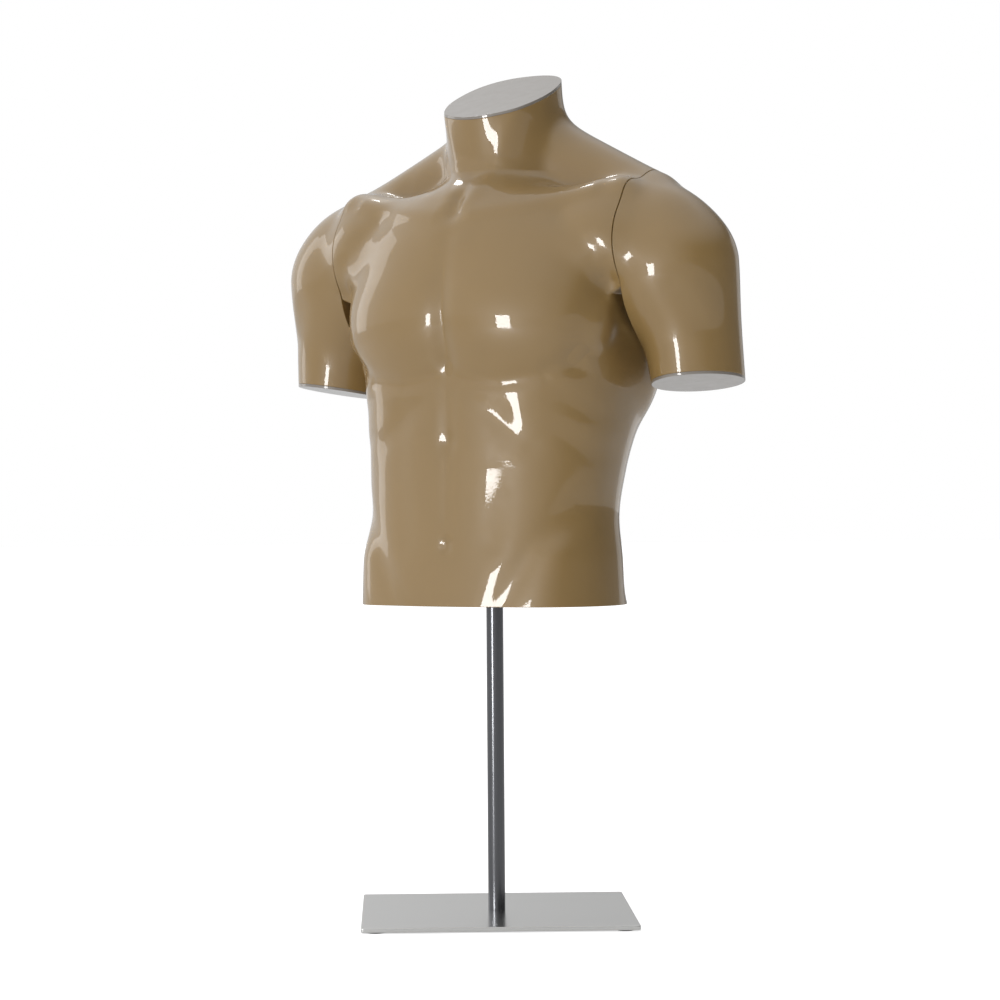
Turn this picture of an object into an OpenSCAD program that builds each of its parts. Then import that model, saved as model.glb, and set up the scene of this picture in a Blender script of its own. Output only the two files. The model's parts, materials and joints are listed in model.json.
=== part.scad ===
// Male torso display mannequin with pull-off arms, on a pole and a flat base plate.
// Millimetres, +Z up. The origin is the centre of the underside, on the pole's axis.
// The figure faces -Y, so its own left arm is at +X.

/* [Stand] */
// Side of the square base plate
plate_side = 300; // [260:10:360]
// Thickness of the base plate
plate_t = 5; // [4:0.5:8]
// Angle that the base plate is turned about the pole
plate_yaw = 35; // [0:5:45]
// Thickness of the pads under the base plate
pad_t = 1.5; // [1:0.5:3]
// Outside diameter of the pole
pole_d = 19; // [18:0.5:20]
// Wall thickness of the pole
pole_wall = 1.5; // [1:0.25:2]
// Length of pole that stands up inside the torso
pole_inside = 190; // [170:5:200]

/* [Figure] */
// Height of the hip cut above the floor
hip_z = 347; // [300:1:420]
// Thickness of the moulded shells
shell_t = 3.5; // [3:0.25:4]
// Thickness of the flat lids in the neck and arm cuts
lid_t = 3; // [2.5:0.5:4]
// Slope of the neck cut, down towards the front
neck_slope = 25; // [15:1:30]
// Distance of the shoulder seams from the middle
seam_x = 185; // [183:1:187]
// Open gap between an arm and the torso at the seam
seam_gap = 0.6; // [0.6:0.1:1]

/* [Socket] */
// Height of the recess under the hip board
recess_h = 36; // [34:1:44]
// Thickness of the hip board
board_t = 12; // [12:1:15]
// Outside diameter of the sleeve that slides on the pole
sleeve_d = 27; // [26:0.5:28]
// Length of the sleeve
sleeve_len = 124; // [110:2:130]

/* [Arm fittings] */
// Thickness of the boards at the shoulder seams
panel_t = 12; // [12:1:14]
// Thickness of the steel fitting plates
fitting_t = 3; // [2.5:0.5:3]
// Diameter of the arm pegs
peg_d = 14; // [12:1:15]
// Length of an arm peg beyond the seam
peg_len = 40; // [30:2:44]
// Diameter of the magnets
magnet_d = 16; // [14:1:17]

/* [Hidden] */
$fn = 64;

lacquer = [0.6, 0.5, 0.38];
laminate = [0.76, 0.74, 0.7];
plywood = [0.8, 0.66, 0.45];
chrome = [0.82, 0.83, 0.85];
zinc = [0.62, 0.63, 0.64];
nylon = [0.2, 0.2, 0.21];

// ---------------------------------------------------------------- the figure's surface
// Heights in this section are above the hip cut, and x is mirrored.

// How softly the forms melt together
blend = 9;
// Roundness of the trunk's sections: 2 is an ellipse
section_power = 2.35;
// The trunk: height, half width, front depth, back depth
trunk_rows = [
    [-40, 157, 102, 98], [0, 155, 102, 95], [50, 153, 99, 94], [100, 148, 95, 94],
    [150, 151, 93, 108], [200, 158, 92, 124], [250, 162, 92, 130], [300, 161, 92, 136],
    [350, 152, 88, 136], [400, 130, 76, 124], [440, 98, 52, 104], [480, 60, 20, 84],
];
// Masses: centre, radii, turn about each axis
masses = [
    [[0, -4, 362], [168, 92, 112], [0, 0, 0]],      // chest
    [[78, -52, 316], [94, 48, 68], [0, 6, 18]],     // pectoral
    [[112, 70, 310], [58, 54, 110], [0, -8, 0]],    // side of the back
    [[209, 28, 372], [66, 64, 84], [0, -8, 0]],     // deltoid
    [[150, -6, 396], [60, 50, 54], [0, 0, 0]],      // front of the shoulder
    [[80, 84, 382], [84, 48, 92], [0, 0, 0]],       // shoulder blade
    [[70, 50, -20], [66, 44, 50], [0, 0, 0]],       // hip
];
// Limbs: start, end, radius at the start, radius at the end
limbs = [
    [[0, 46, 440], [0, 4, 600], 59, 56],            // neck
    [[12, 58, 512], [176, 46, 438], 46, 38],        // slope of the shoulder
    [[20, -40, 430], [172, -6, 446], 12, 18],       // collar bone
    [[228, 32, 370], [244, 50, 180], 57, 47],       // upper arm
];

function total(v) = v * [for (i = v) 1];
function unit(v) = v / norm(v);
function between(pair, f) = pair[0] + f * (pair[1] - pair[0]);
function turn_x(a) = [[1, 0, 0], [0, cos(a), -sin(a)], [0, sin(a), cos(a)]];
function turn_y(a) = [[cos(a), 0, sin(a)], [0, 1, 0], [-sin(a), 0, cos(a)]];
function turn_z(a) = [[cos(a), -sin(a), 0], [sin(a), cos(a), 0], [0, 0, 1]];
// p * turned() takes a point into the mass's own axes
function turned(a) = turn_z(a.z) * turn_y(a.y) * turn_x(a.x);
mass_turns = [for (m = masses) turned(m[2])];

// A smooth curve through the trunk's rows
function slope(i) =
    let (a = trunk_rows[max(i - 1, 0)], b = trunk_rows[min(i + 1, len(trunk_rows) - 1)])
    (b - a) / (b[0] - a[0]);
function row_below(z) = max([for (i = [0:len(trunk_rows) - 2]) if (i == 0 || trunk_rows[i][0] <= z) i]);
function trunk_at(z) =
    let (i = row_below(z), a = trunk_rows[i], b = trunk_rows[i + 1], h = b[0] - a[0],
         t = min(max((z - a[0]) / h, 0), 1), t2 = t * t, t3 = t2 * t)
    (2 * t3 - 3 * t2 + 1) * a + (t3 - 2 * t2 + t) * h * slope(i)
    + (3 * t2 - 2 * t3) * b + (t3 - t2) * h * slope(i + 1);

function trunk_distance(p, row) =
    let (middle = (row[3] - row[2]) / 2, half = (row[3] + row[2]) / 2, y = abs(p.y - middle),
         reach = pow(pow(p.x / row[1], section_power) + pow(y / half, section_power), 1 / section_power))
    norm([p.x, y]) * (1 - 1 / max(reach, 0.001));
function mass_distance(p, m, turn) =
    let (q = (p - m[0]) * turn, r = m[1], k = norm([q.x / r.x, q.y / r.y, q.z / r.z]))
    k * (k - 1) / max(norm([q.x / r.x ^ 2, q.y / r.y ^ 2, q.z / r.z ^ 2]), 0.0001);
function limb_distance(p, l) =
    let (along = l[1] - l[0], t = min(max((p - l[0]) * along / (along * along), 0), 1))
    norm(p - l[0] - t * along) - (l[2] + t * (l[3] - l[2]));

// Below zero inside the figure, and about the distance from its surface near it
function figure(p, row) =
    let (q = [abs(p.x), p.y, p.z])
    -blend * ln(exp(-trunk_distance(q, row) / blend)
        + total([for (i = [0:len(masses) - 1]) exp(-mass_distance(q, masses[i], mass_turns[i]) / blend)])
        + total([for (l = limbs) exp(-limb_distance(q, l) / blend)]));

// How far a ray from inside runs before it is at a given depth under the surface
ray_steps = 11;
function run(from, way, depth, low, high, n = ray_steps) =
    let (m = (low + high) / 2, p = from + m * way)
    n == 0 ? m
    : figure(p, trunk_at(p.z)) < -depth ? run(from, way, depth, m, high, n - 1)
    : run(from, way, depth, low, m, n - 1);

// A ring is [centre, normal, first direction]; the second direction completes the frame
function ring_way(ring, a) = cos(a) * ring[2] + sin(a) * cross(ring[1], ring[2]);

// Faces of a tube whose wall is one closed band of rings
function band_faces(rings, sides) = [
    for (i = [0:rings - 1], j = [0:sides - 1])
        let (k = (i + 1) % rings, l = (j + 1) % sides)
        each [[i * sides + j, k * sides + j, k * sides + l], [i * sides + j, k * sides + l, i * sides + l]]
];
function reversed(v) = [for (i = [len(v) - 1:-1:0]) v[i]];
function all_points(rings) = [for (ring = rings) each ring];

// ---------------------------------------------------------------- torso
torso_sides = 52;
// Height of the armpit, where the seams start
armpit_z = 352;
// Half width left for the torso under the armpits
flank_x = 172;
// How far the drawn shoulder runs past its seam before it is cut
overrun = 15;
armpit_ramp = 14;
neck_middle = [0, 10, 563];
neck_normal = [0, -sin(neck_slope), cos(neck_slope)];
neck_bend_z = 440;
longest_ray = 260;
// The rays start spread out sideways, less so above the shoulders
ray_spread = [95, 20];
ray_spread_z = [440, 490];
torso_heights = [each [0:20:240], each [252:12:420], each [426:6:474], each [479:5:494],
                 each [502:12:550]];
torso_face_x = seam_x - seam_gap / 2;
// Side of the block that cuts each seam, and its height above the hips
seam_cut = 400;

// The middle of each section leans back up to the shoulders and forward up the neck
spine_back = 22;
function spine_y(z) =
    z < neck_bend_z ? spine_back * sin(90 * z / neck_bend_z)
    : spine_back + (neck_middle.y - spine_back) * (z - neck_bend_z) / (neck_middle.z - neck_bend_z);
function torso_ring(z) =
    let (bend = neck_slope * min(max((z - neck_bend_z) / (neck_middle.z - neck_bend_z), 0), 1))
    [[0, spine_y(z), z], [0, -sin(bend), cos(bend)], [1, 0, 0]];
function neck_ring(below) = [neck_middle - below * neck_normal, neck_normal, [1, 0, 0]];
function side_limit(z) =
    flank_x + (seam_x + overrun - flank_x) * min(max((z - armpit_z) / armpit_ramp + 1, 0), 1);
function spread_at(z) =
    let (f = (z - ray_spread_z[0]) / (ray_spread_z[1] - ray_spread_z[0]))
    between(ray_spread, min(max(f, 0), 1));
function torso_outline(ring, depth) =
    let (half = [for (i = [0:torso_sides / 2])
        let (way = ring_way(ring, -90 + 360 * i / torso_sides),
             start = ring[0] + [spread_at(ring[0].z) * way.x, 0, 0],
             reach = min(longest_ray, (side_limit(ring[0].z) - depth - start.x) / max(way.x, 0.001)))
        start + run(start, way, depth, 0, reach) * way])
    concat(half, [for (i = [torso_sides / 2 - 1:-1:1]) [-half[i].x, half[i].y, half[i].z]]);

// A ring's points as a flat outline in its own plane
function flattened(points, ring) =
    [for (p = points) [(p - ring[0]) * ring[2], (p - ring[0]) * cross(ring[1], ring[2])]];
// Moves a flat shape from the xy plane onto a ring's plane
module on_ring(ring) {
    side_way = cross(ring[1], ring[2]);
    multmatrix([for (i = [0:2]) [ring[2][i], side_way[i], ring[1][i], ring[0][i]]])
        children();
}
module above_hips() {
    translate([0, 0, hip_z])
        children();
}

module torso_shell() {
    outer = [for (z = torso_heights) torso_outline(torso_ring(z), 0)];
    inner = [for (z = torso_heights) torso_outline(torso_ring(z), shell_t)];
    rim = [for (depth = [0, shell_t]) torso_outline(neck_ring(lid_t), depth)];
    rings = concat(outer, rim, reversed(inner));
    color(lacquer)
        above_hips()
            difference() {
                polyhedron(all_points(rings), band_faces(len(rings), torso_sides));
                for (side = [-1, 1])
                    translate([side * (torso_face_x + seam_cut / 2), 0, seam_cut])
                        cube(seam_cut, center = true);
            }
}

module neck_lid() {
    edge = neck_ring(lid_t);
    color(lacquer)
        above_hips()
            on_ring(edge)
                linear_extrude(lid_t)
                    polygon(flattened(torso_outline(edge, 0), edge));
}

// ---------------------------------------------------------------- pole socket
board_gap = 0.8;
running = 0.05;
bush_wall = 2;
bush_r = pole_d / 2 + running + bush_wall;
sleeve_low = 6;
flange_d = 92;
flange_t = 4;
flange_screw_circle = 72;
wood_screw_r = 2.1;
wood_head_r = 4.2;
wood_head_h = 2.4;
wood_key = 2.4;
// Wood left at the bottom of a blind screw hole
blind_end = 0.5;
clamp_z = 18;
clamp_r = 4;
boss_d = 17;
boss_end = 22;
knob_d = 26;
knob_start = 28;
knob_t = 10;
knob_flutes = 12;
flute_r = 2.2;
bush_slit = 1.5;
bush_lip_t = 2;

// A countersunk screw that points up, with its head's flat face at z = 0
module screw(shank_r, head_r, head_h, length, key) {
    difference() {
        union() {
            cylinder(h = head_h, r1 = head_r, r2 = shank_r);
            cylinder(h = length, r = shank_r);
        }
        translate([0, 0, -1])
            cylinder(h = head_h + 0.4, d = key, $fn = 6);
    }
}
module at_flange_screws() {
    for (a = [45:90:315])
        rotate([0, 0, a])
            translate([flange_screw_circle / 2, 0, 0])
                children();
}

module hip_board() {
    level = recess_h + board_t;
    edge = torso_outline(torso_ring(level), shell_t + board_gap);
    color(plywood)
        above_hips()
            difference() {
                translate([0, 0, recess_h])
                    linear_extrude(board_t)
                        polygon([for (p = edge) [p.x, p.y]]);
                cylinder(h = level + 1, d = sleeve_d + 1);
                at_flange_screws()
                    cylinder(h = level - blind_end, r = wood_screw_r + running);
            }
}

module pole_socket() {
    color(zinc)
        above_hips()
            difference() {
                union() {
                    translate([0, 0, recess_h - flange_t])
                        cylinder(h = flange_t, d = flange_d);
                    translate([0, 0, sleeve_low])
                        cylinder(h = sleeve_len, d = sleeve_d);
                    translate([0, boss_end, clamp_z])
                        rotate([90, 0, 0])
                            cylinder(h = boss_end, d = boss_d);
                }
                cylinder(h = sleeve_low + sleeve_len + 1, r = bush_r + running);
                translate([0, boss_end + 1, clamp_z])
                    rotate([90, 0, 0])
                        cylinder(h = boss_end + 1, r = clamp_r + running);
                translate([0, 0, recess_h - flange_t])
                    at_flange_screws() {
                        translate([0, 0, -1])
                            cylinder(h = flange_t + 2, r = wood_screw_r + running);
                        cylinder(h = wood_head_h + 0.1, r1 = wood_head_r + 0.1, r2 = wood_screw_r);
                    }
            }
}

module socket_screws() {
    color(zinc)
        above_hips()
            translate([0, 0, recess_h - flange_t])
                at_flange_screws()
                    screw(wood_screw_r, wood_head_r, wood_head_h, flange_t + board_t - 1, wood_key);
}

// Fluted hand knob on a screw whose tip pinches the bush against the pole
module clamp_screw() {
    color(nylon)
        above_hips()
            translate([0, bush_r + running, clamp_z])
                rotate([-90, 0, 0]) {
                    cylinder(h = knob_start - bush_r + knob_t / 2, r = clamp_r);
                    translate([0, 0, knob_start - bush_r])
                        difference() {
                            cylinder(h = knob_t, d = knob_d);
                            for (i = [1:knob_flutes])
                                rotate([0, 0, i * 360 / knob_flutes])
                                    translate([knob_d / 2 + 1, 0, -1])
                                        cylinder(h = knob_t + 2, r = flute_r);
                        }
                }
}

module sleeve_bush() {
    top = sleeve_low + sleeve_len;
    color(nylon)
        above_hips()
            difference() {
                union() {
                    translate([0, 0, sleeve_low])
                        cylinder(h = sleeve_len, r = bush_r);
                    translate([0, 0, top])
                        cylinder(h = bush_lip_t, d = sleeve_d - 1);
                }
                cylinder(h = top + bush_lip_t + 1, r = pole_d / 2 + running);
                translate([0, -sleeve_d / 2, top / 2])
                    cube([bush_slit, sleeve_d, 2 * top], center = true);
            }
}

// ---------------------------------------------------------------- shoulder fittings
// Middle of the oval where the seam cuts the figure
seam_y = 20;
seam_z = 408;
seam_sides = 40;
panel_gap = 1.8;
// Extra room over the top edge of the boards
panel_top_gap = 3;
fitting_w = 78;
fitting_h = 62;
fitting_corner = 8;
fitting_gap = 0.1;
peg_up = 11;
dowel_down = 15;
dowel_d = 6;
dowel_len = 14;
dowel_in = 10;
collar_d = 22;
collar_t = 5;
tube_wall = 2.5;
magnet_out = 27;
magnet_t = 5;
magnet_step = 0.2;
fitting_screw_at = [31, 23];
arm_face_x = seam_x + seam_gap / 2;
// The lowest point of a shoulder board
panel_low = armpit_z - 4 + shell_t + panel_gap;

module rounded_plate(w, h, r, t) {
    linear_extrude(t)
        union() {
            square([w - 2 * r, h], center = true);
            square([w, h - 2 * r], center = true);
            for (x = [-1, 1], y = [-1, 1])
                translate([x * (w / 2 - r), y * (h / 2 - r)])
                    circle(r);
        }
}
// Puts what is drawn for the figure's left on either side
module on_side(side) {
    mirror([side < 0 ? 1 : 0, 0, 0])
        above_hips()
            children();
}
// Axes of a seam face: x to the back, y up, z out of the torso, with the face at z = 0
module on_face(x) {
    translate([x, seam_y, seam_z])
        rotate([90, 0, 90])
            children();
}
module at_fitting_screws() {
    for (x = [-1, 1], y = [-1, 1])
        translate([x * fitting_screw_at.x, y * fitting_screw_at.y, 0])
            children();
}
module at_magnets() {
    for (x = [-1, 1])
        translate([x * magnet_out, 0, 0])
            children();
}
// Outline of a board between two faces, kept inside the figure at both
function seam_outline(faces, depth, low) =
    [for (i = [0:seam_sides - 1])
        let (a = 360 * i / seam_sides, way = [0, cos(a), sin(a)],
             reach = min(longest_ray, (seam_z - low) / max(-way.z, 0.001)),
             lower = depth + panel_top_gap * pow(max(way.z, 0), 3))
        min([for (x = faces) run([x, seam_y, seam_z], way, lower, 0, reach)]) * [cos(a), sin(a)]];

// A board with pockets for its fitting plate and magnets, drawn with its face at z = 0
module board_blank(faces) {
    difference() {
        translate([0, 0, -panel_t])
            linear_extrude(panel_t)
                polygon(seam_outline(faces, shell_t + panel_gap, panel_low));
        translate([0, 0, -fitting_t - fitting_gap])
            rounded_plate(fitting_w + 2 * fitting_gap, fitting_h + 2 * fitting_gap, fitting_corner, panel_t);
        at_magnets()
            translate([0, 0, -magnet_t - 2 * magnet_step])
                cylinder(h = panel_t, d = magnet_d + 2 * fitting_gap);
        at_fitting_screws()
            translate([0, 0, -panel_t + blind_end])
                cylinder(h = panel_t, r = wood_screw_r + running);
    }
}
module fitting_blank() {
    difference() {
        translate([0, 0, -fitting_t])
            rounded_plate(fitting_w, fitting_h, fitting_corner, fitting_t);
        at_magnets()
            translate([0, 0, -fitting_t - 1])
                cylinder(h = fitting_t + 2, d = magnet_d + 2 * fitting_gap);
        at_fitting_screws() {
            translate([0, 0, -fitting_t - 1])
                cylinder(h = fitting_t + 2, r = wood_screw_r + running);
            translate([0, 0, -wood_head_h - 0.1])
                cylinder(h = wood_head_h + 0.11, r1 = wood_screw_r, r2 = wood_head_r + 0.15);
        }
    }
}
module fitting_screws() {
    at_fitting_screws()
        rotate([180, 0, 0])
            screw(wood_screw_r, wood_head_r, wood_head_h, panel_t - 1, wood_key);
}
module magnets() {
    at_magnets()
        translate([0, 0, -magnet_t - magnet_step])
            cylinder(h = magnet_t, d = magnet_d);
}
module at_peg() {
    translate([0, peg_up, 0])
        children();
}
module at_dowel() {
    translate([0, -dowel_down, 0])
        children();
}
// Turns a drawing for the torso's face over, for the arm's face
module facing_torso() {
    mirror([0, 0, 1])
        children();
}

module shoulder_panel(side) {
    color(laminate)
        on_side(side)
            on_face(torso_face_x)
                difference() {
                    board_blank([torso_face_x - panel_t, torso_face_x]);
                    at_peg()
                        translate([0, 0, -panel_t - 1])
                            cylinder(h = panel_t + 2, d = peg_d + 2 * tube_wall + 0.6);
                    at_dowel()
                        translate([0, 0, -panel_t - 1])
                            cylinder(h = panel_t + 2, d = dowel_d + 1);
                }
}
module socket_plate(side) {
    color(zinc)
        on_side(side)
            on_face(torso_face_x)
                difference() {
                    union() {
                        fitting_blank();
                        at_peg()
                            translate([0, 0, -peg_len - 2])
                                cylinder(h = peg_len + 2, d = peg_d + 2 * tube_wall);
                    }
                    at_peg()
                        translate([0, 0, -peg_len - 3])
                            cylinder(h = peg_len + 4, d = peg_d + 2 * running);
                    at_dowel()
                        translate([0, 0, -fitting_t - 1])
                            cylinder(h = fitting_t + 2, d = dowel_d + 2 * running);
                }
}
module socket_plate_screws(side) {
    color(zinc)
        on_side(side)
            on_face(torso_face_x)
                fitting_screws();
}
module shoulder_magnets(side) {
    color(chrome)
        on_side(side)
            on_face(torso_face_x)
                magnets();
}

// ---------------------------------------------------------------- arms
arm_sides = 28;
fan_step = 7.5;
hanging_rings = 7;
// The seam and the first rings turn about a line just under the armpit
fan_pivot = [arm_face_x, 0, armpit_z - 16];
fan_inner_r = 10;
arm_end = [239, 40, 242];
arm_end_normal = unit([0.11, -0.105, -0.988]);
// Distance of the rings' middles from the pivot, at the seam and under it
fan_reach = [72, 50];
fan_y = [20, 30];

function fan_ring(a) =
    let (out = [sin(a), 0, cos(a)])
    [fan_pivot + between(fan_reach, a / 90) * out + [0, between(fan_y, a / 90), 0],
     [cos(a), 0, -sin(a)], out];
function fan_outline(a, depth) =
    let (ring = fan_ring(a), room = between(fan_reach, a / 90) - fan_inner_r * (1 - a / 90) - depth)
    [for (i = [0:arm_sides - 1])
        let (turn = 360 * i / arm_sides, way = ring_way(ring, turn),
             reach = min(longest_ray, room / max(-cos(turn), 0.001)))
        ring[0] + run(ring[0], way, depth, 0, reach) * way];
function hanging_ring(f, up = 0) =
    let (n = unit(between([[0, 0, -1], arm_end_normal], f)))
    [between([fan_pivot + [fan_reach[1], fan_y[1], 0], arm_end - up * arm_end_normal], f),
     n, unit([-n.z, 0, n.x])];
function hanging_outline(ring, depth) =
    [for (i = [0:arm_sides - 1])
        let (way = ring_way(ring, 360 * i / arm_sides),
             reach = min(longest_ray, (ring[0].x - arm_face_x - depth) / max(-way.x, 0.001)))
        ring[0] + run(ring[0], way, depth, 0, reach) * way];
function arm_wall(depth) = concat(
    [for (a = [0:fan_step:90]) fan_outline(a, depth)],
    [for (i = [1:hanging_rings]) hanging_outline(hanging_ring(i / hanging_rings, lid_t), depth)]);

module arm_shell(side) {
    rings = concat(arm_wall(0), reversed(arm_wall(shell_t)));
    color(lacquer)
        on_side(side)
            polyhedron(all_points(rings), band_faces(len(rings), arm_sides));
}
module arm_lid(side) {
    edge = hanging_ring(1, lid_t);
    color(lacquer)
        on_side(side)
            on_ring(edge)
                linear_extrude(lid_t)
                    polygon(flattened(hanging_outline(edge, 0), edge));
}
module arm_panel(side) {
    color(laminate)
        on_side(side)
            on_face(arm_face_x)
                facing_torso()
                    difference() {
                        board_blank([arm_face_x, arm_face_x + panel_t]);
                        at_peg()
                            translate([0, 0, -fitting_t - collar_t - 0.3])
                                cylinder(h = panel_t, d = collar_d + 0.4);
                        at_dowel()
                            translate([0, 0, -dowel_in - 0.3])
                                cylinder(h = panel_t, d = dowel_d + 2 * running);
                    }
}
module peg_plate(side) {
    color(zinc)
        on_side(side)
            on_face(arm_face_x)
                facing_torso()
                    difference() {
                        fitting_blank();
                        at_peg()
                            translate([0, 0, -fitting_t - 1])
                                cylinder(h = fitting_t + 2, d = peg_d + 2 * running);
                        at_dowel()
                            translate([0, 0, -fitting_t - 1])
                                cylinder(h = fitting_t + 2, d = dowel_d + 2 * running);
                    }
}
// Shouldered peg with a collar behind the plate and a bevelled nose
module arm_peg(side) {
    nose = 2;
    color(chrome)
        on_side(side)
            on_face(arm_face_x)
                facing_torso()
                    at_peg() {
                        translate([0, 0, -fitting_t - collar_t - 0.1])
                            cylinder(h = collar_t, d = collar_d);
                        translate([0, 0, -fitting_t - collar_t])
                            cylinder(h = fitting_t + collar_t + peg_len - nose, d = peg_d);
                        translate([0, 0, peg_len - nose])
                            cylinder(h = nose, d1 = peg_d, d2 = peg_d - nose);
                    }
}
module arm_dowel(side) {
    color(chrome)
        on_side(side)
            on_face(arm_face_x)
                facing_torso()
                    at_dowel()
                        translate([0, 0, -dowel_in])
                            cylinder(h = dowel_in + dowel_len, d = dowel_d);
}
module peg_plate_screws(side) {
    color(zinc)
        on_side(side)
            on_face(arm_face_x)
                facing_torso()
                    fitting_screws();
}
module arm_magnets(side) {
    color(chrome)
        on_side(side)
            on_face(arm_face_x)
                facing_torso()
                    magnets();
}

// ---------------------------------------------------------------- stand
plate_low = pad_t;
plate_top = pad_t + plate_t;
pole_top = hip_z + pole_inside;
plate_corner = 3;
pad_d = 20;
pad_inset = 16;
screw_r = 4.95;
screw_head_r = 9.6;
screw_len = 26;
foot_plug_len = 30;
plug_gap = 0.05;
cap_t = 2;
cap_shank = 12;

module pole() {
    color(chrome)
        translate([0, 0, plate_top])
            difference() {
                cylinder(h = pole_top - plate_top, d = pole_d);
                translate([0, 0, -1])
                    cylinder(h = pole_top, d = pole_d - 2 * pole_wall);
            }
}
module pole_top_plug() {
    color(nylon)
        translate([0, 0, pole_top]) {
            cylinder(h = cap_t, d = pole_d);
            translate([0, 0, -cap_shank])
                cylinder(h = cap_shank, r = pole_d / 2 - pole_wall - plug_gap);
        }
}
module pole_foot_plug() {
    color(zinc)
        translate([0, 0, plate_top])
            difference() {
                cylinder(h = foot_plug_len, r = pole_d / 2 - pole_wall - plug_gap);
                translate([0, 0, -1])
                    cylinder(h = foot_plug_len + 2, r = screw_r + running);
            }
}
module base_plate() {
    color(chrome)
        rotate([0, 0, plate_yaw])
            translate([0, 0, plate_low])
                difference() {
                    rounded_plate(plate_side, plate_side, plate_corner, plate_t);
                    translate([0, 0, -1])
                        cylinder(h = plate_t + 2, r = screw_r + 0.3);
                    translate([0, 0, -0.01])
                        cylinder(h = plate_t, r1 = screw_head_r + 0.6, r2 = screw_r + 0.3);
                }
}
module base_screw() {
    color(zinc)
        translate([0, 0, plate_low + 0.2])
            screw(screw_r, screw_head_r, screw_head_r - screw_r, screw_len, 6);
}
module base_pads() {
    color(nylon)
        rotate([0, 0, plate_yaw])
            for (x = [-1, 1], y = [-1, 1])
                translate([x, y, 0] * (plate_side / 2 - pad_inset))
                    cylinder(h = pad_t, d = pad_d);
}

torso_shell();
neck_lid();
hip_board();
pole_socket();
socket_screws();
clamp_screw();
sleeve_bush();
shoulder_panel(1);  // left_shoulder_panel
shoulder_panel(-1);  // right_shoulder_panel
socket_plate(1);  // left_socket_plate
socket_plate(-1);  // right_socket_plate
socket_plate_screws(1);  // left_socket_plate_screws
socket_plate_screws(-1);  // right_socket_plate_screws
shoulder_magnets(1);  // left_shoulder_magnets
shoulder_magnets(-1);  // right_shoulder_magnets
arm_shell(1);  // left_arm_shell
arm_shell(-1);  // right_arm_shell
arm_lid(1);  // left_arm_lid
arm_lid(-1);  // right_arm_lid
arm_panel(1);  // left_arm_panel
arm_panel(-1);  // right_arm_panel
peg_plate(1);  // left_peg_plate
peg_plate(-1);  // right_peg_plate
arm_peg(1);  // left_arm_peg
arm_peg(-1);  // right_arm_peg
arm_dowel(1);  // left_arm_dowel
arm_dowel(-1);  // right_arm_dowel
peg_plate_screws(1);  // left_peg_plate_screws
peg_plate_screws(-1);  // right_peg_plate_screws
arm_magnets(1);  // left_arm_magnets
arm_magnets(-1);  // right_arm_magnets
pole();
pole_top_plug();
pole_foot_plug();
base_plate();
base_screw();
base_pads();
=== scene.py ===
"""Looks of the male torso display mannequin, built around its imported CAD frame.

The figure's surface is the zero surface of one smooth field, as in the part's source. It is drawn here as a
fine mesh, with the muscle lines that the CAD solid leaves out, and cut into the same shells and lids.
Lengths in the figure's own section are millimetres, and heights there are above the hip cut.
"""
import json
import math
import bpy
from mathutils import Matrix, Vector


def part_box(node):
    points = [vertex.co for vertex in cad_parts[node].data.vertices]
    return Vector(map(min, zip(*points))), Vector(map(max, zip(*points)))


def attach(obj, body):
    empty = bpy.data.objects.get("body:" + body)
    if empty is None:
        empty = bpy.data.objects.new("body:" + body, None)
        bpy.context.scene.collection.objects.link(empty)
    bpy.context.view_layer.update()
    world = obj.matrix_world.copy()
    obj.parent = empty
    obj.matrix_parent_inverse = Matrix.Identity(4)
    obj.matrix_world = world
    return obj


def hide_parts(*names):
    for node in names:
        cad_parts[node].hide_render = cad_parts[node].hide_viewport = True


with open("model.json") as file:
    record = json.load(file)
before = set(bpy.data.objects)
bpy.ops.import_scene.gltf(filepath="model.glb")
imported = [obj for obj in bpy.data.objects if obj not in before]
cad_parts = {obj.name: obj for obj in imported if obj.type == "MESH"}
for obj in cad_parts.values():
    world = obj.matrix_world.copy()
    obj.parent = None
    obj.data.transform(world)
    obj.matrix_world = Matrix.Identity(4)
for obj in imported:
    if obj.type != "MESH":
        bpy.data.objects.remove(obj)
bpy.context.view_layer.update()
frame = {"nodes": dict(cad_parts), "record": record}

from concurrent.futures import ThreadPoolExecutor
from itertools import product

import bmesh
import bpy
import numpy as np
from mathutils import Matrix, Vector

MM = 0.001

# ------------------------------------------------------------------ sizes in the frame, and the plate's turn
HIP_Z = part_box("torso_shell")[0].z
TORSO_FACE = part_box("torso_shell")[1].x / MM
ARM_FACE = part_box("left_arm_shell")[0].x / MM
PLATE_TURN = math.radians(35)

# ------------------------------------------------------------------ the figure's surface, in millimetres
BLEND = 9.0
SECTION_POWER = 2.35
SHELL_T = 3.5
LID_T = 3.0
# Trunk: height, half width, front depth, back depth
TRUNK_ROWS = np.array([
    [-40, 157, 102, 98], [0, 155, 102, 95], [50, 153, 99, 94], [100, 148, 95, 94],
    [150, 151, 93, 108], [200, 158, 92, 124], [250, 162, 92, 130], [300, 161, 92, 136],
    [350, 152, 88, 136], [400, 130, 76, 124], [440, 98, 52, 104], [480, 60, 20, 84],
], float)
# Masses: centre, radii, turn about each axis in degrees
MASSES = [
    ((0, -4, 362), (168, 92, 112), (0, 0, 0)),       # chest
    ((78, -52, 316), (94, 48, 68), (0, 6, 18)),      # pectoral
    ((112, 70, 310), (58, 54, 110), (0, -8, 0)),     # side of the back
    ((209, 28, 372), (66, 64, 84), (0, -8, 0)),      # deltoid
    ((150, -6, 396), (60, 50, 54), (0, 0, 0)),       # front of the shoulder
    ((80, 84, 382), (84, 48, 92), (0, 0, 0)),        # shoulder blade
    ((70, 50, -20), (66, 44, 50), (0, 0, 0)),        # hip
]
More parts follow.
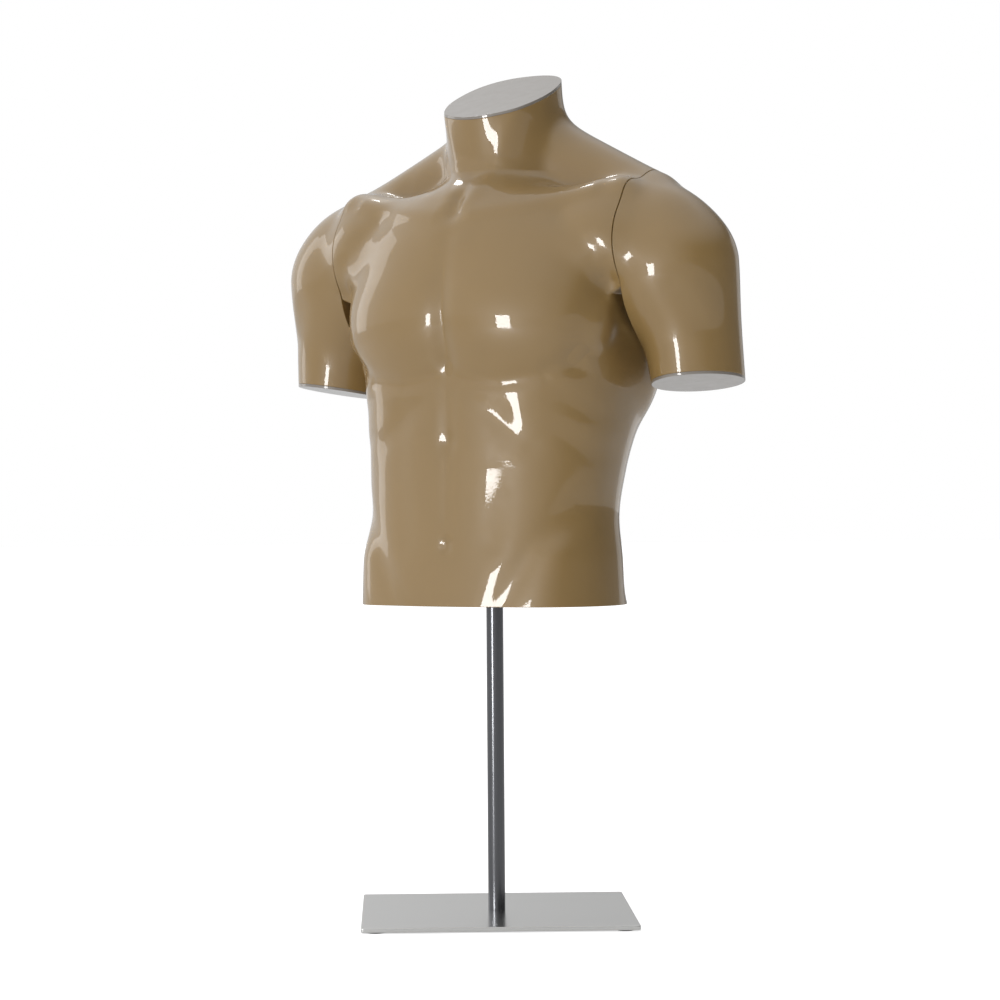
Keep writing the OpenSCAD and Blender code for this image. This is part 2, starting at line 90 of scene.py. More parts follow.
# Limbs: start, end, radius at the start, radius at the end
LIMBS = [
    ((0, 46, 440), (0, 4, 600), 59, 56),             # neck
    ((12, 58, 512), (176, 46, 438), 46, 38),         # slope of the shoulder
    ((20, -40, 430), (172, -6, 446), 12, 18),        # collar bone
    ((228, 32, 370), (244, 50, 180), 57, 47),        # upper arm
]
# Muscle lines: side of the figure, points, width, height (below zero is a groove)
FRONT, BACK = -1, 1
STROKES = [
    (FRONT, [(26, -62, 430), (86, -56, 438), (150, -30, 452)], 10, 2.6),  # collar bone
    (FRONT, [(60, -30, 470), (120, -10, 474)], 18, -3.0),  # hollow above it
    (FRONT, [(0, -64, 446), (0, -72, 430)], 10, -4.0),  # throat notch
    (FRONT, [(12, -58, 444), (28, -46, 490), (48, -18, 545)], 12, 2.2),  # neck cord
    (FRONT, [(0, -90, 400), (0, -100, 262)], 13, -2.2),  # breast bone
    # Under the pectoral
    (FRONT, [(20, -98, 250), (62, -100, 243), (112, -86, 250), (152, -50, 276)], 10, -2.6),
    (FRONT, [(124, -70, 424), (164, -58, 384), (178, -48, 352)], 12, -2.4),  # pectoral to deltoid
    (FRONT, [(0, -92, 262), (0, -93, 180)], 13, -3.2),  # upper middle of the belly
    (FRONT, [(0, -93, 180), (0, -96, 96)], 9, -1.2),  # middle of the belly
    (FRONT, [(0, -97, 68), (0, -97, 64)], 6.5, -2.4),  # navel
    (FRONT, [(0, -97, 67), (0, -97, 64)], 14, -1.0),  # dip round it
    (FRONT, [(64, -88, 214), (68, -86, 150), (56, -86, 70)], 18, -1.4),  # outer edge of the belly
    (FRONT, [(14, -92, 236), (50, -92, 214), (96, -78, 178)], 15, -1.3),  # rib arch
    (FRONT, [(140, -54, 108), (100, -80, 62), (62, -97, -10)], 16, -2.6),  # groin line
    (FRONT, [(124, -62, 50), (120, -70, 18), (118, -73, -16)], 23, 4.6),  # hip bone
    (FRONT, [(128, -60, 226), (152, -24, 206)], 13, -0.8),  # side ribs
    (FRONT, [(124, -62, 186), (148, -24, 166)], 13, -0.8),
    (FRONT, [(246, -14, 340), (268, 0, 300)], 14, -1.4),  # under the deltoid
    (FRONT, [(168, -40, 352), (152, -44, 300), (140, -56, 262)], 12, -3.4),  # fold into the armpit
    (FRONT, [(238, -6, 236), (236, -4, 226)], 40, 5.0),  # upper arm's front
    (BACK, [(0, 128, 452), (0, 138, 340), (0, 118, 190), (0, 96, 20)], 15, -4.6),  # spine
    (BACK, [(40, 130, 440), (54, 140, 360), (62, 138, 322)], 16, -2.2),  # inner edge of the blade
    (BACK, [(70, 136, 304), (122, 118, 298)], 15, -1.8),  # under the blade
    (BACK, [(36, 124, 250), (48, 112, 150), (40, 100, 60)], 18, 1.8),  # column beside the spine
    (BACK, [(34, 98, 34), (34, 98, 30)], 11, -1.8),  # dimple
    (BACK, [(60, 116, 452), (140, 88, 446)], 14, -1.4),  # ridge of the blade
]
# How much a stroke's distance counts front to back, and how many widths it reaches
STROKE_DEPTH = 0.3
STROKE_REACH = 3
# Where the strokes of the front give way to those of the back, and how softly
MIDDLE_Y = 20
SIDE_FADE = 8
# Cuts: a point on the plane, and the normal that points off the figure
NECK_SLOPE = math.radians(25)
HIP_CUT = (np.array([0, 0, 0.0]), np.array([0, 0, -1.0]))
NECK_CUT = (np.array([0, 10, 563.0]), np.array([0, -math.sin(NECK_SLOPE), math.cos(NECK_SLOPE)]))
ARM_NORMAL = np.array([0.11, -0.105, -0.988])
ARM_CUT = (np.array([239, 40, 242.0]), ARM_NORMAL / np.linalg.norm(ARM_NORMAL))
# The torso stops at this half width under the armpits, and widens to its seams above them
FLANK_X = 172
ARMPIT_Z = 352
ARMPIT_RAMP = 14
# The seam's middle, and how far the sheets run past it before they are cut
SEAM_X = (TORSO_FACE + ARM_FACE) / 2
OVERRUN = 15
# Rounding where a side wall meets the figure, and the slopes of the fields of the two walls
WALL_ROUNDING = 1.2
FLANK_SLOPE = 0.5
SEAM_SLOPE = 0.7
# Extra thickness inside the shells, because the grooves of the muscle lines take some away
GROOVE_ROOM = 1.0
# Grids: step outside, step inside the torso, step inside the arms, and the boxes that they fill
NET_STEP = 3.0
INNER_STEP = 6.0
ARM_INNER_STEP = 3.0
TORSO_BOX = ((0, -132, -12), (201, 150, 612))
ARM_BOX = ((168, -60, 222), (318, 130, 480))


def turned(angles):
    """The matrix whose columns are a mass's own axes."""
    (cx, cy, cz), (sx, sy, sz) = np.cos(np.radians(angles)), np.sin(np.radians(angles))
    about_x = np.array([[1, 0, 0], [0, cx, -sx], [0, sx, cx]])
    about_y = np.array([[cy, 0, sy], [0, 1, 0], [-sy, 0, cy]])
    about_z = np.array([[cz, -sz, 0], [sz, cz, 0], [0, 0, 1]])
    return about_z @ about_y @ about_x


def trunk_at(z):
    """Half width, front depth and back depth of the trunk at each height, curved through its rows."""
    rows = TRUNK_ROWS
    last = len(rows) - 1
    i = np.clip(np.searchsorted(rows[:, 0], z) - 1, 0, last - 1)
    before, low, high, after = (rows[np.clip(i + k, 0, last)] for k in (-1, 0, 1, 2))
    step = (high - low)[..., :1]
    t = np.clip((z[..., None] - low[..., :1]) / step, 0, 1)
    leave = (high - before) / (high - before)[..., :1] * step
    arrive = (after - low) / (after - low)[..., :1] * step
    curve = ((2 * t**3 - 3 * t**2 + 1) * low + (t**3 - 2 * t**2 + t) * leave
             + (3 * t**2 - 2 * t**3) * high + (t**3 - t**2) * arrive)
    return curve[..., 1], curve[..., 2], curve[..., 3]


def trunk_distance(p):
    width, front, back = trunk_at(p[..., 2])
    y = np.abs(p[..., 1] - (back - front) / 2)
    share = (p[..., 0] / width) ** SECTION_POWER + (y / ((back + front) / 2)) ** SECTION_POWER
    return np.hypot(p[..., 0], y) * (1 - 1 / (share ** (1 / SECTION_POWER) + 1e-9))


def mass_distance(p, centre, radii, angles):
    q = (p - np.array(centre, float)) @ turned(angles) / np.array(radii, float)
    k = np.linalg.norm(q, axis=-1)
    return k * (k - 1) / (np.linalg.norm(q / np.array(radii, float), axis=-1) + 1e-9)


def along_segment(p, start, end):
    """Share of the way along a segment, and the offset from it."""
    start, way = np.array(start, float), np.subtract(end, start).astype(float)
    t = np.clip((p - start) @ way / (way @ way), 0, 1)
    return t, p - start - t[..., None] * way


def limb_distance(p, start, end, start_r, end_r):
    t, offset = along_segment(p, start, end)
    return np.linalg.norm(offset, axis=-1) - (start_r + t * (end_r - start_r))


def mirrored(p):
    return np.concatenate([np.abs(p[..., :1]), p[..., 1:]], -1)


def plain_figure(p):
    """Below zero inside the figure, and about the distance from its surface near it, with no muscle lines."""
    q = mirrored(p)
    melted = np.exp(-trunk_distance(q) / BLEND)
    for mass in MASSES:
        melted += np.exp(-mass_distance(q, *mass) / BLEND)
    for limb in LIMBS:
        melted += np.exp(-limb_distance(q, *limb) / BLEND)
    return -BLEND * np.log(melted + 1e-30)


def muscle_lines(p):
    """Height that the muscle lines add to the surface at each point."""
    q = mirrored(p)
    height = np.zeros(len(q))
    flat, fade = q[:, [0, 2]], 1 / (1 + np.exp(-(q[:, 1] - MIDDLE_Y) / SIDE_FADE))
    for side, points, width, rise in STROKES:
        line = np.array(points, float)
        low, high = line[:, [0, 2]].min(0), line[:, [0, 2]].max(0)
        reach = STROKE_REACH * width
        near = np.flatnonzero(((flat > low - reach) & (flat < high + reach)).all(1))
        if not len(near):
            continue
        gaps = [along_segment(q[near], a, b)[1] * (1, STROKE_DEPTH, 1) for a, b in zip(line, line[1:])]
        gap = np.min([(g**2).sum(-1) for g in gaps], 0)
        shown = fade[near] if side > 0 else 1 - fade[near]
        height[near] += rise * shown * np.exp(-gap / width**2)
    return height


def figure(p):
    return plain_figure(p) - muscle_lines(p)


def smooth_max(a, b, soft):
    return soft * np.logaddexp(a / soft, b / soft)


def flank_distance(p):
    """Distance outside the torso's own side wall, which steps out to the seam over the armpit."""
    widened = np.clip((p[..., 2] - ARMPIT_Z) / ARMPIT_RAMP + 1, 0, 1)
    limit = FLANK_X + (SEAM_X + OVERRUN - FLANK_X) * widened
    return (np.abs(p[..., 0]) - limit) * FLANK_SLOPE


def rough_torso(p):
    """The torso without its muscle lines."""
    return smooth_max(plain_figure(p), flank_distance(p), WALL_ROUNDING)


def torso_figure(p):
    return smooth_max(figure(p), flank_distance(p), WALL_ROUNDING)


def torso_inside(p):
    return smooth_max(plain_figure(p) + SHELL_T + GROOVE_ROOM, flank_distance(p) + SHELL_T, WALL_ROUNDING)


def arm_inside(p):
    """The arm's hollow: open through the seam, but walled off from it under the armpit."""
    opened = np.clip((p[..., 2] - ARMPIT_Z - SHELL_T) / ARMPIT_RAMP + 0.5, 0, 1)
    limit = ARM_FACE + SHELL_T - (SHELL_T + OVERRUN) * opened
    wall = (limit - p[..., 0]) * SEAM_SLOPE
    return smooth_max(plain_figure(p) + SHELL_T + GROOVE_ROOM, wall, WALL_ROUNDING)


# ------------------------------------------------------------------ mesh from the field
WORKERS = ThreadPoolExecutor(4)
PART = 6000


def values_of(field, p):
    """The field at many points, worked out in parts side by side."""
    return np.concatenate(list(WORKERS.map(field, np.array_split(p, len(p) // PART + 1))))


def sample(field, low, high, step):
    """Values of a field on a grid, and the grid's first point."""
    axes = [np.arange(a, b + step, step) for a, b in zip(low, high)]
    grid = np.stack(np.meshgrid(*axes, indexing="ij"), -1)
    return np.stack(list(WORKERS.map(field, grid))), grid[0, 0, 0]


def surface_net(values, origin, step):
    """Vertices and quads of the zero surface of a sampled field, with normals towards the higher values."""
    inside = values < 0
    size = np.array(values.shape) - 1
    corners = [np.array(c) for c in product((0, 1), repeat=3)]
    count = sum(inside[tuple(slice(c[a], c[a] + size[a]) for a in range(3))].astype(int) for c in corners)
    crossed = (count > 0) & (count < 8)
    cells = np.argwhere(crossed)
    number = np.full(crossed.shape, -1)
    number[crossed] = np.arange(len(cells))
    total, hits = np.zeros((len(cells), 3)), np.zeros(len(cells))
    for a, b in ((a, b) for a in corners for b in corners if (b - a).sum() == 1 and (b >= a).all()):
        va, vb = values[tuple((cells + a).T)], values[tuple((cells + b).T)]
        cross = (va < 0) != (vb < 0)
        t = np.where(cross, va / np.where(cross, va - vb, 1), 0)
        total += cross[:, None] * (a + t[:, None] * (b - a))
        hits += cross
    quads = []
    for axis in range(3):
        u, v = np.eye(3, dtype=int)[(axis + 1) % 3], np.eye(3, dtype=int)[(axis + 2) % 3]
        low = inside[tuple(slice(0, -1) if a == axis else slice(None) for a in range(3))]
        high = inside[tuple(slice(1, None) if a == axis else slice(None) for a in range(3))]
        at = np.argwhere(low != high)
        room = (at @ u >= 1) & (at @ v >= 1) & (at @ u < size @ u) & (at @ v < size @ v)
        at = at[room]
        ring = [number[tuple((at + d).T)] for d in (-u - v, -v, 0 * u, -u)]
        quad = np.stack(ring, 1)
        outward = low[tuple(at.T)]
        quads.append(np.where(outward[:, None], quad, quad[:, ::-1]))
    return origin + step * (cells + total / hits[:, None]), np.concatenate(quads)


def gradient(field, p, reach=0.5):
    """The field's slope at each point."""
    parts = [values_of(field, p + step) - values_of(field, p - step) for step in np.eye(3) * reach]
    return np.stack(parts, -1) / (2 * reach)


# Limits of a vertex's move, and the share of the way to its neighbours' middle that it slides
LEAST_SLOPE_SQUARED = 0.04
LONGEST_MOVE = 3
SLIDE = 0.6


def onto_surface(field, p, reach=0.5):
    """Moves the points onto the field's zero surface, and returns them with the surface's normals."""
    value = values_of(field, p)
    slope = np.stack([values_of(field, p + step) - value for step in np.eye(3) * reach], -1) / reach
    steep = np.maximum((slope**2).sum(-1, keepdims=True), LEAST_SLOPE_SQUARED)
    move = np.clip(value[:, None] / steep, -LONGEST_MOVE, LONGEST_MOVE)
    return p - move * slope, slope / np.sqrt(steep)


def evened(field, p, quads, rounds=3):
    """Puts the vertices on the surface, and slides them along it to even out the quads."""
    sides = np.concatenate([quads[:, [i, (i + 1) % 4]] for i in range(4)])
    edges = np.unique(np.sort(sides, axis=1), axis=0)
    both = np.concatenate([edges, edges[:, ::-1]])
    count = np.bincount(both[:, 0], minlength=len(p))[:, None]
    p, normal = onto_surface(field, p)
    for _ in range(rounds):
        middle = np.stack([np.bincount(both[:, 0], p[both[:, 1], k], len(p)) for k in range(3)], 1) / count
        move = (middle - p) * SLIDE
        p, normal = onto_surface(field, p + move - (move * normal).sum(1, keepdims=True) * normal)
    return onto_surface(field, p)[0]


# How far off a cut its edges may lie, how close open points are made one, and an edge loop's least count
ON_CUT = 0.02
SAME_POINT = 0.15
SHORTEST_RIM = 12


def cut_sheet(points, faces, cuts):
    """The sheet as a bmesh, with what lies off the figure's side of each cut taken away."""
    mesh = bpy.data.meshes.new("sheet")
    mesh.from_pydata(points.tolist(), [], faces.tolist())
    bm = bmesh.new()
    bm.from_mesh(mesh)
    bpy.data.meshes.remove(mesh)
    for (point, normal), back in cuts:
        bmesh.ops.bisect_plane(bm, geom=bm.verts[:] + bm.edges[:] + bm.faces[:], dist=1e-4,
                               plane_co=Vector(point - back * normal), plane_no=Vector(normal),
                               clear_outer=True)
    bmesh.ops.remove_doubles(bm, verts=[v for v in bm.verts if v.is_boundary], dist=SAME_POINT)
    return bm


def as_arrays(bm):
    bm.verts.index_update()
    return np.array([v.co for v in bm.verts]), [[v.index for v in f.verts] for f in bm.faces]


def edge_loops(bm, cut, back):
    """The sheet's open edges that lie on a cut, as vertices in the order of their faces' winding."""
    point, normal = Vector(cut[0] - back * cut[1]), Vector(cut[1])
    follows = {}
    for edge in bm.edges:
        on_cut = all(abs((v.co - point).dot(normal)) < ON_CUT for v in edge.verts)
        if on_cut and len(edge.link_faces) == 1:
            corner = edge.link_loops[0]
            follows[corner.vert] = corner.link_loop_next.vert
    loops = []
    while follows:
        start, at = follows.popitem()
        loop = [start]
        while at is not start and at in follows:
            loop.append(at)
            at = follows.pop(at)
        if len(loop) > SHORTEST_RIM:
            loops.append(loop)
    return loops


class Skin:
    """A closed shell or lid that is put together from sheets, rounded rims and flat faces."""

    def __init__(self):
        self.bm = bmesh.new()
        self.normal = self.bm.verts.layers.float_vector.new("surface_normal")
        self.flat = self.bm.faces.layers.int.new("flat")

    def add(self, sheet, field, facing):
        """Joins a sheet, with its faces turned over if facing is below zero."""
        points, faces = as_arrays(sheet)
        normals = gradient(field, points)
        normals *= facing / (np.linalg.norm(normals, axis=1, keepdims=True) + 1e-9)
        verts = [self.bm.verts.new(p) for p in points]
        for vert, normal in zip(verts, normals):
            vert[self.normal] = normal
        for face in faces:
            self.bm.faces.new([verts[i] for i in (face if facing > 0 else face[::-1])])
        return verts

    def rims(self, cut, back):
        return edge_loops(self.bm, cut, back)

    def round_off(self, loop, cut, radius, steps=3):
        """Turns an open edge over onto its cut with a rounded edge, and returns the new edge."""
        plane = Vector(cut[1])
        sideways = []
        for vert in loop:
            out = Vector(vert[self.normal])
            out -= out.dot(plane) * plane
            sideways.append(out.normalized())
        start = [vert.co.copy() for vert in loop]
        for i in range(1, steps + 1):
            angle = math.pi / 2 * i / steps
            ring = []
            for co, out in zip(start, sideways):
                raised = co + plane * radius * math.sin(angle)
                vert = self.bm.verts.new(raised - out * radius * (1 - math.cos(angle)))
                vert[self.normal] = out * math.cos(angle) + plane * math.sin(angle)
                ring.append(vert)
            for j in range(len(loop)):
                k = (j + 1) % len(loop)
                self.bm.faces.new([loop[k], loop[j], ring[j], ring[k]])
            loop = ring
        return loop

    def fill(self, loops, cut):
        """Closes the flat area inside one edge loop, or between an outer and an inner one, on a cut."""
        plane = Vector(cut[1])
        across = plane.orthogonal().normalized()
        up = plane.cross(across)
        loops = sorted(loops, key=len, reverse=True)[:2]
        middle = sum((v.co for v in loops[-1]), Vector()) / len(loops[-1])
        turns = [self.turned_loop(loop, middle, across, up) for loop in loops]
        if len(turns) == 1:
            self.inset_rings(turns[0][0], middle, plane)
            return
        (outer, outer_at), (inner, inner_at) = turns
        i = j = 0
        while i < len(outer) or j < len(inner):
            a, b = outer[i % len(outer)], inner[j % len(inner)]
            ahead = outer_at[i + 1] if i < len(outer) else math.inf
            behind = inner_at[j + 1] if j < len(inner) else math.inf
            if ahead <= behind:
                self.add_flat([a, outer[(i + 1) % len(outer)], b])
                i += 1
            else:
                self.add_flat([a, inner[(j + 1) % len(inner)], b])
                j += 1

    def turned_loop(self, loop, middle, across, up):
        """The loop anticlockwise from its smallest angle, and the angles on its way round."""
        angle = [math.atan2((v.co - middle).dot(up), (v.co - middle).dot(across)) for v in loop]
        path = np.unwrap(angle + angle[:1])
        if path[-1] < path[0]:
            loop, angle = loop[::-1], angle[::-1]
        first = min(range(len(loop)), key=lambda k: angle[k])
        loop, angle = loop[first:] + loop[:first], angle[first:] + angle[:first]
        return loop, list(np.unwrap(angle + angle[:1]))

    def inset_rings(self, edge, middle, plane, rings=5):
        """Closes one loop with rings that shrink to its middle."""
        loop = edge
        for i in range(1, rings):
            inner = []
            for vert in edge:
                made = self.bm.verts.new(vert.co.lerp(middle, i / rings))
                made[self.normal] = plane
                inner.append(made)
            for j in range(len(loop)):
                k = (j + 1) % len(loop)
                self.add_flat([loop[j], loop[k], inner[k], inner[j]])
            loop = inner
        centre = self.bm.verts.new(middle)
        for k in range(len(loop)):
            self.add_flat([loop[k], loop[(k + 1) % len(loop)], centre])

    def add_flat(self, corners):
        self.bm.faces.new(corners)[self.flat] = 1

    def mesh(self, name, mirror=False):
        """The finished mesh in metres, with the field's own normals on all but its flat faces."""
        mesh = bpy.data.meshes.new(name)
        self.bm.to_mesh(mesh)
        normals = np.empty(len(mesh.vertices) * 3, np.float32)
        mesh.attributes["surface_normal"].data.foreach_get("vector", normals)
        normals = normals.reshape(-1, 3)
        flat = np.empty(len(mesh.polygons), np.int32)
        mesh.attributes["flat"].data.foreach_get("value", flat)
        faces = [list(p.vertices) for p in mesh.polygons]
        face_normals = np.array([p.normal for p in mesh.polygons])
        points = np.array([v.co for v in mesh.vertices])
        bpy.data.meshes.remove(mesh)
        if mirror:
            points, normals, face_normals = (a * (-1, 1, 1) for a in (points, normals, face_normals))
            faces = [f[::-1] for f in faces]
        made = bpy.data.meshes.new(name)
        made.from_pydata((points * MM + (0, 0, HIP_Z)).tolist(), [], faces)
        made.polygons.foreach_set("use_smooth", [True] * len(faces))
        corners = [face_normals[i] if flat[i] else normals[v] for i, f in enumerate(faces) for v in f]
        made.normals_split_custom_set([tuple(float(x) for x in n) for n in corners])
        return made


def shell(outer, inner, outer_field, inner_field, cuts, edge):
    """A hollow shell, open at every cut, with rounded outer edges."""
    skin = Skin()
    skin.add(cut_sheet(*outer, [(cut, edge) for cut in cuts]), outer_field, 1)
    rims = [[skin.round_off(loop, cut, edge) for loop in skin.rims(cut, edge)] for cut in cuts]
    skin.add(cut_sheet(*inner, [(cut, 0) for cut in cuts]), inner_field, -1)
    for cut, outer_loops in zip(cuts, rims):
        known = {v for loop in outer_loops for v in loop}
        inner_loops = [loop for loop in skin.rims(cut, 0) if loop[0] not in known]
        skin.fill(outer_loops + inner_loops, cut)
    return skin


def lid(outer, field, cut, edge):
    """The slice of the figure that a flat lid fills, solid, with rounded edges."""
    underside = (cut[0] - LID_T * cut[1], -cut[1])
    skin = Skin()
    skin.add(cut_sheet(*outer, [(cut, edge), (underside, edge)]), field, 1)
    for face in (cut, underside):
        skin.fill([skin.round_off(loop, face, edge) for loop in skin.rims(face, edge)], face)
    return skin


# ------------------------------------------------------------------ materials
def new_material(name):
    made = bpy.data.materials.new(name)
    made.use_nodes = True
    tree = made.node_tree
    return made, tree, tree.nodes["Principled BSDF"]


def set_inputs(node, **values):
    for key, value in values.items():
        socket = node.inputs[key.replace("_", " ")]
        socket.default_value = (*value, 1) if isinstance(value, tuple) and len(value) == 3 else value


def noise(tree, scale, stretch=(1, 1, 1), turn=0.0, detail=3.0):
    """Noise in the piece's own metres, stretched along its axes."""
    place = tree.nodes.new("ShaderNodeTexCoord")
    mapping = tree.nodes.new("ShaderNodeMapping")
    mapping.inputs["Scale"].default_value = stretch
    mapping.inputs["Rotation"].default_value = (0, 0, turn)
    texture = tree.nodes.new("ShaderNodeTexNoise")
    set_inputs(texture, Scale=scale, Detail=detail)
    tree.links.new(place.outputs["Object"], mapping.inputs["Vector"])
    tree.links.new(mapping.outputs["Vector"], texture.inputs["Vector"])
    return texture.outputs["Fac"]


def ramp(tree, factor, low, high, start=0.3, end=0.7):
    """A value or colour that follows a factor from low to high."""
    node = tree.nodes.new("ShaderNodeValToRGB")
    for stop, place, value in zip(node.color_ramp.elements, (start, end), (low, high)):
        stop.position = place
        stop.color = (*value, 1) if isinstance(value, tuple) else (value, value, value, 1)
    tree.links.new(factor, node.inputs["Fac"])
    return node.outputs["Color"]


def bump(tree, heights, shader, strength, depth):
    node = tree.nodes.new("ShaderNodeBump")
    set_inputs(node, Strength=strength, Distance=depth)
    tree.links.new(heights, node.inputs["Height"])
    tree.links.new(node.outputs["Normal"], shader.inputs["Normal"])
    return node


def tinted(colour, share):
    return tuple(c * share for c in colour)


def lacquer(name, colour):
    """High-gloss lacquer: a mottled satin colour coat, under a clear coat with faint orange peel."""
    made, tree, shader = new_material(name)
    set_inputs(shader, Coat_Weight=1.0, Coat_Roughness=0.025, Coat_IOR=1.5)
    mottle = ramp(tree, noise(tree, 5.0), tinted(colour, 0.96), tinted(colour, 1.04))
    tree.links.new(mottle, shader.inputs["Base Color"])
    tree.links.new(ramp(tree, noise(tree, 60.0), 0.36, 0.44), shader.inputs["Roughness"])
    peel = bump(tree, noise(tree, 420.0, detail=1.0), shader, 0.05, 0.0004)
    tree.links.new(peel.outputs["Normal"], shader.inputs["Coat Normal"])
    return made


def polished_metal(name, colour, rough, stretch, turn=0.0):
    """Metal with fine drawn or brushed lines along the axis of the smallest stretch."""
    made, tree, shader = new_material(name)
    set_inputs(shader, Metallic=1.0)
    lines = noise(tree, 1.0, stretch, turn, detail=4.0)
    tint = ramp(tree, lines, tinted(colour, 0.94), tinted(colour, 1.03))
    tree.links.new(tint, shader.inputs["Base Color"])
    tree.links.new(ramp(tree, lines, rough * 0.8, rough * 1.3), shader.inputs["Roughness"])
    bump(tree, lines, shader, 0.03, 0.0002)
    return made


def zinc_plate(name, colour, rough):
    """Bright zinc plate with crystal spangle and a faint yellow passivation in places."""
    made, tree, shader = new_material(name)
    set_inputs(shader, Metallic=1.0)
    cells = tree.nodes.new("ShaderNodeTexVoronoi")
    set_inputs(cells, Scale=260.0)
    place = tree.nodes.new("ShaderNodeTexCoord")
    tree.links.new(place.outputs["Object"], cells.inputs["Vector"])
    warm = (colour[0] * 1.02, colour[1] * 0.98, colour[2] * 0.86)
    tree.links.new(ramp(tree, noise(tree, 30.0), colour, warm), shader.inputs["Base Color"])
    spangle = ramp(tree, cells.outputs["Distance"], rough * 0.8, rough * 1.4)
    tree.links.new(spangle, shader.inputs["Roughness"])
    bump(tree, noise(tree, 900.0), shader, 0.08, 0.0002)
    return made


def moulded(name, colour, rough, grain_scale, depth):
    """Moulded plastic or rubber with a fine sand texture."""
    made, tree, shader = new_material(name)
    tint = ramp(tree, noise(tree, 25.0), tinted(colour, 0.85), tinted(colour, 1.2))
    tree.links.new(tint, shader.inputs["Base Color"])
    tree.links.new(ramp(tree, noise(tree, 120.0), rough * 0.9, rough * 1.1), shader.inputs["Roughness"])
    bump(tree, noise(tree, grain_scale), shader, 0.35, depth)
    return made


def glass_laminate(name, colour):
    """Raw chopped-strand laminate: pale fibres that cross in a yellowish resin."""
    made, tree, shader = new_material(name)
    set_inputs(shader, Roughness=0.5)
    one = noise(tree, 90.0, (1, 1, 9), 0.4)
    two = noise(tree, 90.0, (9, 9, 1), 1.3)
    both = tree.nodes.new("ShaderNodeMath")
    both.operation = "MAXIMUM"
    tree.links.new(one, both.inputs[0])
    tree.links.new(two, both.inputs[1])
    fibres = both.outputs["Value"]
    tint = ramp(tree, fibres, tinted(colour, 0.72), tinted(colour, 1.18), 0.45, 0.7)
    tree.links.new(tint, shader.inputs["Base Color"])
    bump(tree, fibres, shader, 0.4, 0.0004)
    return made


def birch_ply(name, colour):
    """Birch plywood: long face grain, and veneers that show as bands on the edge."""
    made, tree, shader = new_material(name)
    set_inputs(shader, Roughness=0.55)
    grain = noise(tree, 14.0, (1, 14, 1), 0.0, 5.0)
    veneers = tree.nodes.new("ShaderNodeTexWave")
    veneers.bands_direction = "Z"
    set_inputs(veneers, Scale=210.0, Distortion=0.6)
    place = tree.nodes.new("ShaderNodeTexCoord")
    tree.links.new(place.outputs["Object"], veneers.inputs["Vector"])
    mix = tree.nodes.new("ShaderNodeMix")
    mix.data_type = "RGBA"
    mix.blend_type = "MULTIPLY"
    mix.inputs["Factor"].default_value = 0.5
    tree.links.new(ramp(tree, grain, tinted(colour, 0.8), tinted(colour, 1.12)), mix.inputs["A"])
    tree.links.new(ramp(tree, veneers.outputs["Fac"], 0.7, 1.0), mix.inputs["B"])
    tree.links.new(mix.outputs["Result"], shader.inputs["Base Color"])
    bump(tree, grain, shader, 0.2, 0.0003)
    return made


LACQUER = (0.298, 0.187, 0.064)
# The lids' lacquer colour is the shell's made paler and greyer: painted reflection of the white surroundings
# that their flat faces catch at a slant
LID_PAINTED_REFLECTION = (0.25, 0.222, 0.192)
FINISH = {
    "lacquer": lacquer("taupe_lacquer", LACQUER),
    "lid_lacquer": lacquer("lid_lacquer_painted_reflection", LID_PAINTED_REFLECTION),
    "laminate": glass_laminate("glass_laminate", (0.55, 0.52, 0.44)),
    "plywood": birch_ply("birch_ply", (0.6, 0.42, 0.23)),
    "zinc_steel": zinc_plate("zinc_plate", (0.62, 0.63, 0.64), 0.3),
    "bright_steel": polished_metal("bright_steel", (0.7, 0.7, 0.71), 0.12, (1500, 1500, 60)),
    "magnet_nickel": polished_metal("nickel", (0.66, 0.63, 0.57), 0.16, (500, 500, 500)),
    "pole_chrome": polished_metal("pole_chrome", (0.15, 0.153, 0.162), 0.2, (700, 700, 9)),
    "plate_steel": polished_metal("plate_steel", (0.8, 0.8, 0.79), 0.2, (9, 900, 900), PLATE_TURN),
    "black_nylon": moulded("black_nylon", (0.022, 0.022, 0.025), 0.42, 900.0, 0.0002),
    "pad_rubber": moulded("pad_rubber", (0.03, 0.03, 0.031), 0.8, 1400.0, 0.0003),
}
SLOT_OF = {part["node"]: part["material_slot"] for part in frame["record"]["subparts"]}
for node, cad_piece in frame["nodes"].items():
    cad_piece.data.materials.clear()
    cad_piece.data.materials.append(FINISH[SLOT_OF[node]])


# ------------------------------------------------------------------ the figure's pieces
def show(mesh, name, body, slot, *nodes):
    """Puts a finished mesh on its body, in the place of the CAD nodes that it stands for."""
    piece = bpy.data.objects.new(name, mesh)
    bpy.context.scene.collection.objects.link(piece)
    mesh.materials.append(FINISH[slot])
    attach(piece, body)
    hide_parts(*nodes)


def net_of(rough, fine, low, high, step, mirror=False):
    """A sheet that is laid over a rough field, and whose vertices are then put on the fine one."""
    values, origin = sample(rough, low, high, step)
    if mirror:
        origin = origin - ((len(values) - 1) * step, 0, 0)
        values = np.concatenate([values[:0:-1], values])
    points, quads = surface_net(values, origin, step)
    return evened(fine, points, quads), quads


def under(cut, depth):
    """A cut moved into the figure."""
    return cut[0] - depth * cut[1], cut[1]


SHELL_EDGE = 0.7
LID_EDGE = 0.45
SEAM_CUTS = [(np.array([side * TORSO_FACE, 0, 0]), np.array([side, 0, 0.0])) for side in (-1, 1)]
ARM_SEAM = (np.array([ARM_FACE, 0, 0]), np.array([-1, 0, 0.0]))


